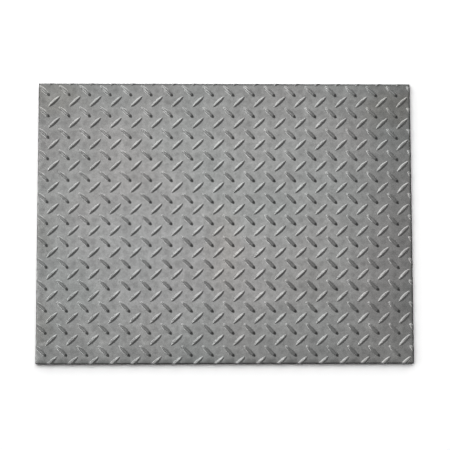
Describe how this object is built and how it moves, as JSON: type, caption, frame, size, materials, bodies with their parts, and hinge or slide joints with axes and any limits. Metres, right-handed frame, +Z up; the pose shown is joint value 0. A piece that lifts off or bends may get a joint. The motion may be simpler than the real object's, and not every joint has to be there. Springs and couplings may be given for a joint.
{
  "type": "steel checker plate",
  "caption": "Flat rectangular steel floor plate, rolled with raised boat-shaped lugs in two crossed families on its top face, sheared on all four edges.",
  "frame": {"origin": "middle of the flat underside", "axes": "+X along the long side, +Y along the short side, +Z up through the plate to the side with the lugs"},
  "size_m": [0.6096, 0.4572, 0.0081],
  "materials": {
    "hot_rolled_steel": "bare hot-rolled steel, dull grey with cloudy mill scale, lugs rolled bright on their crowns"
  },
  "bodies": {
    "root": {"checker_plate": "hot_rolled_steel"}
  },
  "joints": []
}
